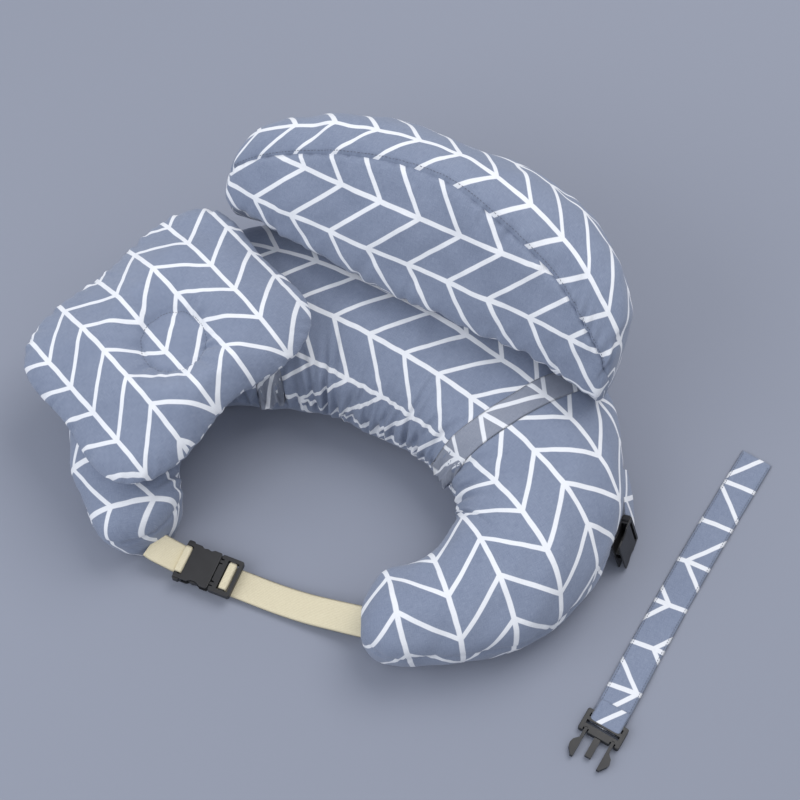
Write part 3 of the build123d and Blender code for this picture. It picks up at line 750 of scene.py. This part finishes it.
# %% Grip patches between the two cushions
GRIP_SIZE, GRIP_AT = (70.0, 40.0), (100.0, 62.0)
for kind, lift, body in (("hook", 0.9, "waist_cushion"), ("loop", 1.9, "raised_cushion")):
    for side in (-1, 1):
        ends = [raised_to_world(side * GRIP_AT[0] + half * GRIP_SIZE[0] / 2, GRIP_AT[1], 0.0)[:2]
                for half in (-1, 1)]
        grid = laid(*ends, GRIP_SIZE[1], lift, rows=24)
        patch = ribbon(f"grip_{kind}_patch_{'left' if side < 0 else 'right'}", grid, DOWN, 0.8)
        place_piece(patch, body, "grip_tape", f"grip_{kind}_patches")
print("grip patches: two hooked, two looped")


# %% Zip tapes and teeth
def zip_on(name, line, normals, along_z, tape_width, body, nodes):
    """A tape along a line on a cover, with a row of coil turns down its middle."""
    line, normals = np.asarray(line, float), np.asarray(normals, float)
    across = np.linspace(-0.5, 0.5, 9) * tape_width
    grid = line[:, None, :] + across[None, :, None] * along_z + normals[:, None, :] * 1.1
    tape = ribbon(name + "_tape_cloth", grid, -normals[:, None, :], 0.9)
    teeth = stitches(name + "_coil_turns", line + normals * 1.7, normals, pitch=1.5, length=0.9, thick=2.4)
    for piece, node in zip((tape, teeth), nodes):
        place_piece(piece, body, "zip_tape", node)


UP = np.array([0, 0, 1.0])
zip_rows = np.abs(waist_grid[:, len(side_x), 0]) < 150
zip_rows &= np.abs(angles) < 60
seam_column = len(side_x)
zip_on("waist_zip", waist_grid[zip_rows, seam_column], waist_out[zip_rows, seam_column], UP, 20.0,
       "waist_cushion", ("waist_zip_tape", "waist_zip_coil"))
back_column = 8 * FINE
zip_rows = np.abs(stretch) < 0.30
zip_on("raised_zip", raised_grid[zip_rows, back_column], raised_out[zip_rows, back_column], UP, 13.0,
       "raised_cushion", ("raised_zip_tape", "raised_zip_coil"))

# %% [markdown]
# ## Belt webbing
#
# Woven webbing is stiff across its width and bends only along its length, so each length is a flat ribbon
# with straight edges that follows one smooth line. It can twist a little, and it does so where it enters
# the end of the cushion.


# %% A ribbon that follows a line
def webbing_run(name, keys, width, thick, tilts=(0, 0), per_key=14, columns=15, wave=0.0):
    """A ribbon through key points; its width turns from one tilt to the other, in degrees from level."""
    line = through(keys, per_key)
    ahead = np.gradient(line, axis=0)
    ahead /= np.linalg.norm(ahead, axis=1, keepdims=True)
    level = np.cross(UP, ahead)
    level /= np.linalg.norm(level, axis=1, keepdims=True)
    up = np.cross(ahead, level)
    tilt = np.radians(np.interp(np.linspace(0, 1, len(line)) ** 2, [0, 1], tilts))[:, None]
    across = level * np.cos(tilt) + up * np.sin(tilt)
    normal = np.cross(ahead, across)
    place = (np.linspace(-0.5, 0.5, columns) * width)[None, :, None]
    grid = line[:, None, :] + across[:, None, :] * place
    if wave:
        grid = grid + normal[:, None, :] * (wave * lumps(grid, 60, 51))[..., None]
    length = np.linalg.norm(np.diff(line, axis=0), axis=1).sum()
    return ribbon(name, grid, -normal[:, None, :], thick), length, grid, normal


BELT_WIDTH, BELT_THICK, BELT_Y, BUCKLE_Z = 34.0, 1.7, -105.0, 14.0
LEFT_BELT = [(-153, -103.5, 28), (-146, -104.5, 25.3), (-138, BELT_Y, 23), (-120, BELT_Y, 16.5),
             (-117.5, BELT_Y, 14.5)]
RIGHT_BELT = [(-68, BELT_Y, 7.6), (-40, BELT_Y, 7.2), (0, BELT_Y, 7.4), (36, BELT_Y + 1, 10.5),
              (70, BELT_Y + 3, 17), (98, BELT_Y + 4, 25), (116, BELT_Y + 5, 30)]
for node, keys, tilts in (("belt_webbing_left", LEFT_BELT, (6, 0)),
                          ("belt_webbing_right", RIGHT_BELT, (0, 26))):
    piece, length, grid, normal = webbing_run(node + "_weave", keys, BELT_WIDTH, BELT_THICK, tilts)
    place_piece(piece, "waist_cushion", "webbing", node)
    print(node, "shows", round(length), "mm")


# %% Webbing folded round the buckle bars
FOLD_WIDTH, FOLD_THICK, FOLD_CORNER = BELT_WIDTH - 1, 1.5, 2.2


def bar_fold(name, middle_x, half_long, half_high, body, node):
    """A flat loop of webbing round a bar: an oblong path in the XZ plane, as wide as the belt."""
    corner = min(half_high * 0.8, FOLD_CORNER)
    path = []
    for cx, cz, first in ((1, 1, 0), (-1, 1, 90), (-1, -1, 180), (1, -1, 270)):
        for step in range(7):
            spin = math.radians(first + step * 15)
            x = middle_x + cx * (half_long - corner) + corner * math.cos(spin)
            path.append((x, BELT_Y, BUCKLE_Z + cz * (half_high - corner) + corner * math.sin(spin)))
    path.append(path[0])
    path = np.array(path)
    ahead = np.gradient(path, axis=0)
    ahead[0] = ahead[-1] = path[1] - path[-2]
    ahead /= np.linalg.norm(ahead, axis=1, keepdims=True)
    normal = np.cross(ahead, (0, 1, 0))
    place = (np.linspace(-0.5, 0.5, 15) * FOLD_WIDTH)[None, :, None] * np.array([0, 1, 0])
    piece = ribbon(name, path[:, None, :] + place, normal[:, None, :], FOLD_THICK)
    place_piece(piece, body, "webbing", node)


# Each fold's name, node and body, half its height, and how much longer than its node it reaches.
BAR_FOLDS = (("belt_webbing_socket_fold", "belt_webbing_bar_loop", "waist_cushion", 6.9, 0.0),
             ("belt_webbing_plug_fold", "belt_webbing_turn", "waist_plug", 5.4, 0.4))
for name, node, body, half_high, longer in BAR_FOLDS:
    node_low, node_high = (np.array(corner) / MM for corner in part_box(node))
    middle_x, half_long = (node_low[0] + node_high[0]) / 2, (node_high[0] - node_low[0]) / 2
    bar_fold(name, middle_x, half_long + longer, half_high, body, node)

# %% [markdown]
# ## Neck strap and its tab
#
# The strap goes round the neck and clips into the socket on the right side of the waist cushion. It is a
# flat tube of the printed cotton, folded over and stitched along both edges. Lying loose on the table, it
# is not quite flat, so it gets a slow wave along its length, and a soft curve.

# %% Neck strap
NECK_WIDTH, NECK_THICK = 38.0, 2.2
NECK_START, NECK_END = np.array([383.0, -97.0]), np.array([441.5, 263.0])
neck_ahead = (NECK_END - NECK_START) / np.linalg.norm(NECK_END - NECK_START)
neck_side = np.array([-neck_ahead[1], neck_ahead[0]])
neck_length = np.linalg.norm(NECK_END - NECK_START)
BOW, LIFT = 3.0, (5.4, 4.2, 2.9, 2.6, 3.4, 2.7, 3.3, 2.6)
neck_keys = []
for share, lift in zip(np.linspace(0.012, 1, len(LIFT)), LIFT):
    x, y = NECK_START + neck_ahead * share * neck_length + neck_side * BOW * math.sin(math.pi * share)
    neck_keys.append((x, y, lift))
neck_strap, length, neck_grid, neck_normal = webbing_run("neck_strap_cloth", neck_keys, NECK_WIDTH,
                                                         NECK_THICK, wave=0.35)
place_piece(neck_strap, "neck_strap", "strap_cotton", "neck_strap_fabric")
for name, column in (("near", 1), ("far", 13)):
    edge = stitches(f"neck_strap_stitches_{name}", neck_grid[:, column], neck_normal,
                    pitch=3.4, length=2.2, thick=0.7)
    place_piece(edge, "neck_strap", "stitch_thread")
print("neck strap", round(length), "mm")

# %% The fold of the strap round the plug's bar, and the tab on the cushion
FOLD_STEPS = ((16, 5.6), (4, 7.6), (-7, 8.2), (-11.2, 7.0), (-11.6, 4.0), (-9.0, 1.3), (0, 1.0), (10, 1.3),
              (20, 1.6))
fold_keys = [(*(NECK_START + neck_ahead * along), height) for along, height in FOLD_STEPS]
neck_fold, length = webbing_run("neck_strap_fold", fold_keys, NECK_WIDTH - 2, 1.4, per_key=8)[:2]
place_piece(neck_fold, "neck_strap", "strap_cotton")

TAB_START, TAB_END = np.array([305.0, 170, 46]), np.array([334.0, 116, 26])
TAB_FACE = np.array([0.96, 0, 0.28])
tab_down = (TAB_END - TAB_START) / np.linalg.norm(TAB_END - TAB_START)
tab_up = TAB_FACE - tab_down * (tab_down @ TAB_FACE)
tab_up /= np.linalg.norm(tab_up)
tab_side = np.cross(tab_up, tab_down)
rows = []
for t in np.linspace(0, 1, 26):
    middle = TAB_START + (TAB_END - TAB_START) * t + tab_up * 2.5 * math.sin(math.pi * t)
    widths = np.linspace(-0.5, 0.5, 13) * NECK_WIDTH
    rows.append([middle + tab_side * w for w in widths])
neck_tab = ribbon("neck_tab_cloth", np.array(rows), -tab_up, NECK_THICK)
place_piece(neck_tab, "waist_cushion", "strap_cotton", "neck_tab")

# %% [markdown]
# ## Materials
#
# The cotton is a plain weave with the print on its face. The print is worked out from the flat cloth
# coordinate: spines at an even distance, and between two spines slanting lines that meet them in V shapes.
# A triangle wave across the spines mirrors the slant from one row to the next. The lines are thin enough
# that a picture of them would blur, while a formula stays sharp however near the camera comes.


# %% Node helpers
class Finish:
    """A material, with short ways to add and join its nodes."""

    def __init__(self, name, **sockets):
        self.material = bpy.data.materials.new(name)
        self.material.use_nodes = True
        self.tree = self.material.node_tree
        self.shader = self.tree.nodes["Principled BSDF"]
        for socket, value in sockets.items():
            self.shader.inputs[socket.replace("_", " ")].default_value = value

    def node(self, kind, inputs=(), **settings):
        made = self.tree.nodes.new("ShaderNode" + kind)
        for key, value in settings.items():
            setattr(made, key, value)
        for key, value in dict(inputs).items():
            if isinstance(value, bpy.types.NodeSocket):
                self.tree.links.new(value, made.inputs[key])
            else:
                made.inputs[key].default_value = value
        return made

    def math(self, operation, a, b=0.0, c=0.0):
        return self.node("Math", {0: a, 1: b, 2: c}, operation=operation).outputs[0]

    def mix(self, factor, a, b, blend="MIX"):
        made = self.node("Mix", {0: factor, 6: a, 7: b}, data_type="RGBA", blend_type=blend)
        return made.outputs[2]

    def noise(self, place, scale, detail=2.0, rough=0.5):
        inputs = {"Vector": place, "Scale": scale, "Detail": detail, "Roughness": rough}
        return self.node("TexNoise", inputs).outputs[0]

    def spread(self, place, scale):
        return self.node("Mapping", {"Vector": place, "Scale": scale}).outputs[0]

    def remap(self, value, from_low, from_high, low, high):
        inputs = {"Value": value, "From Min": from_low, "From Max": from_high,
                  "To Min": low, "To Max": high}
        return self.node("MapRange", inputs, clamp=True).outputs[0]

    def colour(self, socket):
        self.tree.links.new(socket, self.shader.inputs["Base Color"])

    def rough(self, socket):
        self.tree.links.new(socket, self.shader.inputs["Roughness"])

    def bump(self, height, distance, strength=1.0):
        made = self.node("Bump", {"Height": height, "Distance": distance, "Strength": strength})
        self.tree.links.new(made.outputs[0], self.shader.inputs["Normal"])


# %% Printed cotton
SPINE_GAP, BRANCH_GAP = 0.056, 0.049
SPINE_HALF, BRANCH_HALF = 0.0028, 0.0025
PRINT_EDGE = 0.00035


def printed_cotton(name, ground, shade, line, turn_degrees=0.0, shift=(0.0, 0.0), weave=1.0):
    """Cotton with rows of slanting lines; ground and shade are two tones of the same yarn."""
    cotton = Finish(name, Roughness=0.85, Sheen_Weight=0.18, Sheen_Roughness=0.55, Specular_IOR_Level=0.25)
    cloth = cotton.node("UVMap", uv_map="Cloth").outputs[0]
    turned = cotton.node("Mapping", {"Vector": cloth, "Location": (*shift, 0),
                                     "Rotation": (0, 0, math.radians(turn_degrees))}).outputs[0]
    drift = cotton.noise(turned, 38.0, 1.0)
    wobble = cotton.math("MULTIPLY", cotton.math("SUBTRACT", drift, 0.5), 0.0022)
    parts = cotton.node("SeparateXYZ", {0: turned})
    along, across = parts.outputs[0], cotton.math("ADD", parts.outputs[1], wobble)
    to_spine = cotton.math("PINGPONG", across, SPINE_GAP / 2)
    slant = cotton.math("MULTIPLY", cotton.math("PINGPONG", across, SPINE_GAP), BRANCH_GAP / SPINE_GAP)
    to_branch = cotton.math("PINGPONG", cotton.math("ADD", along, slant), BRANCH_GAP / 2)
    square = math.cos(math.atan(BRANCH_GAP / SPINE_GAP))
    to_branch = cotton.math("MULTIPLY", to_branch, square)
    inside = cotton.math("MINIMUM", cotton.math("SUBTRACT", to_spine, SPINE_HALF),
                         cotton.math("SUBTRACT", to_branch, BRANCH_HALF))
    printed = cotton.remap(inside, -PRINT_EDGE, PRINT_EDGE, 1.0, 0.0)
    warp = cotton.noise(cotton.spread(turned, (1900, 130, 1)), 1.0, 2.0)
    weft = cotton.noise(cotton.spread(turned, (130, 1900, 1)), 1.0, 2.0)
    yarn = cotton.math("ADD", warp, weft)
    cloud = cotton.noise(turned, 14.0, 3.0)
    tone = cotton.remap(cotton.math("ADD", yarn, cotton.math("MULTIPLY", cloud, 0.5)), 0.85, 1.65, 0.0, 1.0)
    dyed = cotton.mix(tone, (*shade, 1), (*ground, 1))
    inked = cotton.mix(cotton.remap(yarn, 0.7, 1.3, 0.0, 1.0), (*[c * 0.93 for c in line], 1), (*line, 1))
    cotton.colour(cotton.mix(printed, dyed, inked))
    cotton.rough(cotton.remap(yarn, 0.7, 1.3, 0.93, 0.76))
    crumple = cotton.noise(turned, 130.0, 3.0)
    height = cotton.math("ADD", cotton.math("MULTIPLY", yarn, 0.5 * weave),
                         cotton.math("MULTIPLY", crumple, 1.6))
    height = cotton.math("ADD", height, cotton.math("MULTIPLY", printed, 0.12))
    cotton.bump(height, 0.0005, 0.6)
    return cotton.material


COTTON_LIGHT, COTTON_DARK, PRINT_WHITE = (0.262, 0.305, 0.412), (0.166, 0.202, 0.295), (0.83, 0.85, 0.90)
STRAP_LIGHT, STRAP_DARK = (0.300, 0.325, 0.395), (0.215, 0.240, 0.310)
waist_cloth_finish = printed_cotton("printed cotton", COTTON_LIGHT, COTTON_DARK, PRINT_WHITE)
gusset_finish = printed_cotton("printed cotton on the gusset", COTTON_LIGHT, COTTON_DARK, PRINT_WHITE,
                               shift=(0.0, -GUSSET_LINE * MM))
strap_finish = printed_cotton("printed strap cotton", STRAP_LIGHT, STRAP_DARK, PRINT_WHITE, 24,
                              (0.01, 0.012), 1.6)
neck_finish = printed_cotton("printed neck strap cotton", COTTON_LIGHT, COTTON_DARK, PRINT_WHITE, 8,
                             (0.0, 0.02), 1.2)
print("print repeats every", 2 * SPINE_GAP, "m across the spines")


# %% Webbing, plastic, tape, thread and metal
def webbing_finish():
    """Cream polypropylene webbing: fine ribs along, crossed by a slanting weave."""
    weave = Finish("cream webbing", Roughness=0.62, Sheen_Weight=0.1, Specular_IOR_Level=0.35)
    cloth = weave.node("UVMap", uv_map="Cloth").outputs[0]
    parts = weave.node("SeparateXYZ", {0: cloth})
    ribs = weave.math("PINGPONG", parts.outputs[0], 0.00085)
    picks = weave.math("PINGPONG", weave.math("ADD", parts.outputs[1], parts.outputs[0]), 0.0007)
    relief = weave.math("ADD", weave.remap(ribs, 0, 0.00085, 0, 1), weave.remap(picks, 0, 0.0007, 0, 0.8))
    fuzz = weave.noise(weave.spread(cloth, (900, 300, 1)), 1.0)
    # Painted shade: the colour follows the weave relief, with darker cream in its grooves, and the random
    # fuzz adds tone that is the yarn's own.
    tone = weave.math("ADD", weave.math("MULTIPLY", relief, 0.4), weave.math("MULTIPLY", fuzz, 0.5))
    shade = weave.remap(tone, 0.2, 1.0, 0, 1)
    weave.colour(weave.mix(shade, (0.60, 0.53, 0.36, 1), (0.80, 0.735, 0.55, 1)))
    weave.bump(weave.math("ADD", relief, fuzz), 0.0003, 0.7)
    return weave.material


def plastic_finish():
    """Black moulded plastic: a fine spark-eroded grain, and a shine that varies a little from place to
    place.
    """
    plastic = Finish("black moulded plastic", Roughness=0.42, Specular_IOR_Level=0.5)
    place = plastic.node("TexCoord").outputs["Object"]
    grain = plastic.noise(place, 2200.0, 2.0)
    flow = plastic.noise(place, 60.0, 2.0)
    plastic.colour(plastic.mix(flow, (0.010, 0.010, 0.011, 1), (0.021, 0.021, 0.024, 1)))
    plastic.rough(plastic.remap(plastic.math("ADD", grain, flow), 0.6, 1.4, 0.34, 0.52))
    plastic.bump(grain, 0.00012, 0.5)
    return plastic.material


def tape_finish(name, light, dark):
    """A close twill of fine yarns, for zip tape and grip tape."""
    tape = Finish(name, Roughness=0.8, Sheen_Weight=0.2)
    place = tape.node("TexCoord").outputs["Object"]
    twill = tape.noise(tape.spread(place, (1600, 1600, 500)), 1.0, 2.0)
    tape.colour(tape.mix(tape.remap(twill, 0.3, 0.7, 0, 1), (*dark, 1), (*light, 1)))
    tape.bump(twill, 0.0004, 0.8)
    return tape.material


def thread_finish():
    """Twisted polyester thread, darker than the cloth."""
    thread = Finish("dark thread", Roughness=0.55, Sheen_Weight=0.3)
    place = thread.node("TexCoord").outputs["Object"]
    twist = thread.noise(place, 1800.0, 1.0)
    thread.colour(thread.mix(twist, (0.045, 0.055, 0.085, 1), (0.12, 0.14, 0.20, 1)))
    thread.bump(twist, 0.0002)
    return thread.material


def metal_finish():
    """Painted zip slider: smooth paint, rubbed a little."""
    metal = Finish("painted slider", Metallic=0.6, Roughness=0.35)
    place = metal.node("TexCoord").outputs["Object"]
    rub = metal.noise(place, 420.0, 3.0)
    worn = metal.remap(rub, 0.45, 0.75, 0, 1)
    metal.colour(metal.mix(worn, (0.17, 0.21, 0.31, 1), (0.42, 0.45, 0.50, 1)))
    metal.rough(metal.remap(rub, 0.3, 0.7, 0.28, 0.5))
    metal.bump(rub, 0.0001, 0.4)
    return metal.material


# %% Give every piece its finish
finishes = {
    "printed_cotton": waist_cloth_finish, "strap_cotton": strap_finish, "webbing": webbing_finish(),
    "buckle_plastic": plastic_finish(),
    "zip_tape": tape_finish("zip tape", (0.20, 0.25, 0.36), (0.13, 0.16, 0.24)),
    "grip_tape": tape_finish("grip tape", (0.42, 0.45, 0.52), (0.24, 0.27, 0.33)),
    "stitch_thread": thread_finish(), "zip_slider": metal_finish(),
}
special = {gusset: gusset_finish, neck_strap: neck_finish, neck_fold: neck_finish, neck_tab: neck_finish}
moulded = ("waist_buckle_", "neck_buckle_")
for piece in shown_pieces():
    finish = special.get(piece, finishes.get(piece.get("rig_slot")))
    if piece.name.startswith(moulded):
        finish = finishes["buckle_plastic"]
    elif piece.name.endswith("zip_slider"):
        finish = finishes["zip_slider"]
    if finish is None:
        print("no finish for", piece.name)
        continue
    piece.data.materials.clear()
    piece.data.materials.append(finish)
